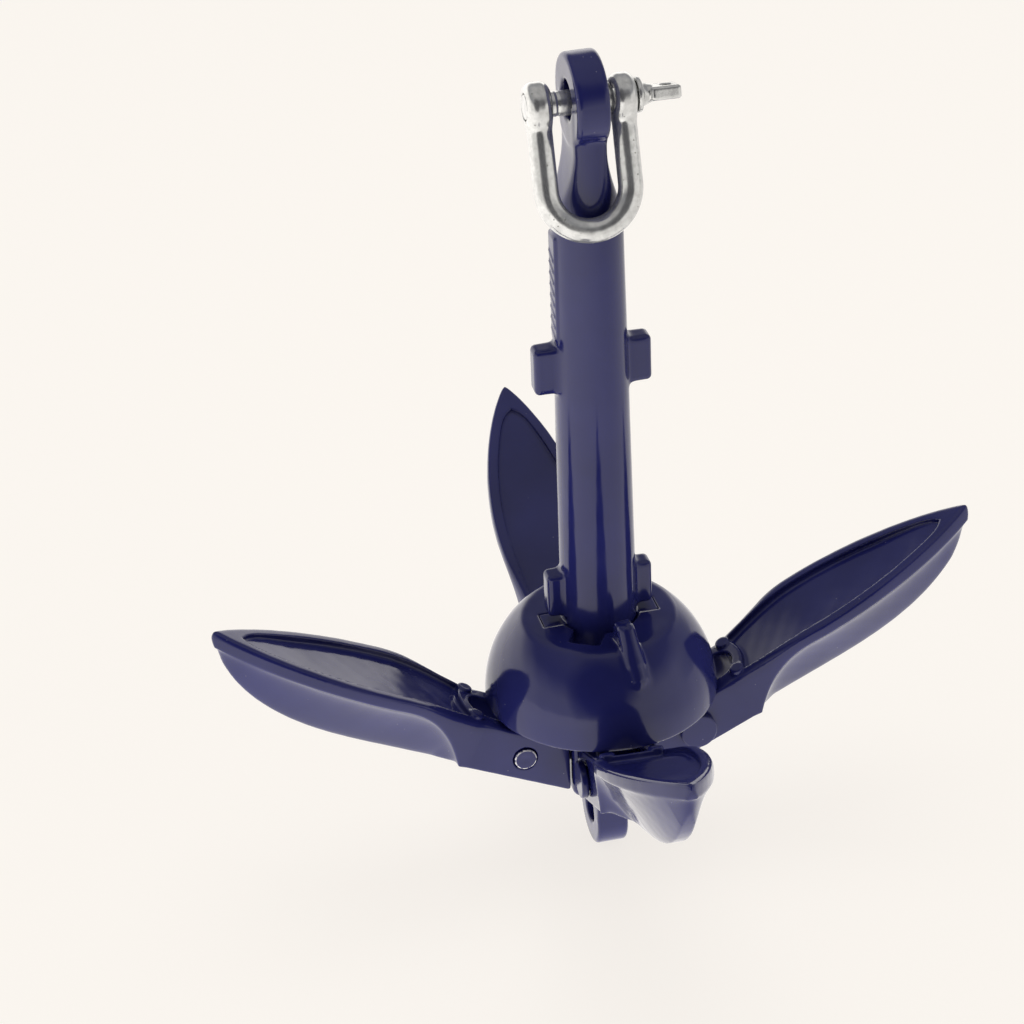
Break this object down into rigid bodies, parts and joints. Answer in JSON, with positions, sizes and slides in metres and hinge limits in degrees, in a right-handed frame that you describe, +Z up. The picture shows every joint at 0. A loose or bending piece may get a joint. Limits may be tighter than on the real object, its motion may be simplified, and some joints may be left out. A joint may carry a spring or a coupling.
{
  "type": "grapnel anchor",
  "caption": "Folding grapnel anchor: a coated cast shank with hinged leaf-shaped flukes, a sliding bell-shaped lock collar and a screw-pin shackle.",
  "frame": {"origin": "lowest point of the lower eye, on the shank's axis", "axes": "+Z up along the shank to the shackle; the four flukes lie along +X, +Y, -X and -Y; the shackle hangs on the -Y side"},
  "size_m": [0.2576, 0.2575, 0.29],
  "materials": {
    "coated_casting": "glossy navy coating",
    "coated_collar": "glossy navy coating",
    "coated_fluke": "glossy navy coating",
    "coated_rivet": "glossy navy coating",
    "galvanised_steel": "galvanised",
    "galvanised_pin": "galvanised"
  },
  "bodies": {
    "shank": {"shank": "coated_casting", "rivet_right": "coated_rivet", "rivet_back": "coated_rivet", "rivet_left": "coated_rivet", "rivet_front": "coated_rivet"},
    "collar": {"collar": "coated_collar"},
    "fluke_right": {"fluke_right": "coated_fluke"},
    "fluke_back": {"fluke_back": "coated_fluke"},
    "fluke_left": {"fluke_left": "coated_fluke"},
    "fluke_front": {"fluke_front": "coated_fluke"},
    "shackle": {"shackle_bow": "galvanised_steel"},
    "shackle_pin": {"shackle_pin": "galvanised_pin"}
  },
  "joints": [
    {"name": "collar_slide", "type": "slide", "parent": "shank", "child": "collar", "axis": [0, 0, 1], "range_m": [0, 0.13]},
    {"name": "fluke_right_fold", "type": "hinge", "parent": "shank", "child": "fluke_right", "pos_m": [0.0297, 0.00031, 0.0456], "axis": [0.0105, -0.9999, 0], "range_deg": [0, 60]},
    {"name": "fluke_back_fold", "type": "hinge", "parent": "shank", "child": "fluke_back", "pos_m": [0, 0.0297, 0.0456], "axis": [1, 0, 0], "range_deg": [0, 60]},
    {"name": "fluke_left_fold", "type": "hinge", "parent": "shank", "child": "fluke_left", "pos_m": [-0.0297, -0.00036, 0.0456], "axis": [-0.0122, 0.9999, 0], "range_deg": [0, 60]},
    {"name": "fluke_front_fold", "type": "hinge", "parent": "shank", "child": "fluke_front", "pos_m": [-0.00119, -0.02968, 0.0456], "axis": [-0.9992, 0.0401, 0], "range_deg": [0, 60]},
    {"name": "shackle_swing", "type": "hinge", "parent": "shank", "child": "shackle", "pos_m": [0, 0, 0.2743], "axis": [-0.9997, 0, 0.0227], "range_deg": [0, 313]},
    {"name": "shackle_pin_turn", "type": "hinge", "parent": "shackle", "child": "shackle_pin", "pos_m": [0, 0, 0.2743], "axis": [0.9997, 0, -0.0227], "continuous": true}
  ],
  "couplings": [
    {"joint": "fluke_right_fold", "follows": "collar_slide", "rad_per_m": 8.05},
    {"joint": "fluke_back_fold", "follows": "collar_slide", "rad_per_m": 8.05},
    {"joint": "fluke_left_fold", "follows": "collar_slide", "rad_per_m": 8.05},
    {"joint": "fluke_front_fold", "follows": "collar_slide", "rad_per_m": 8.05}
  ]
}
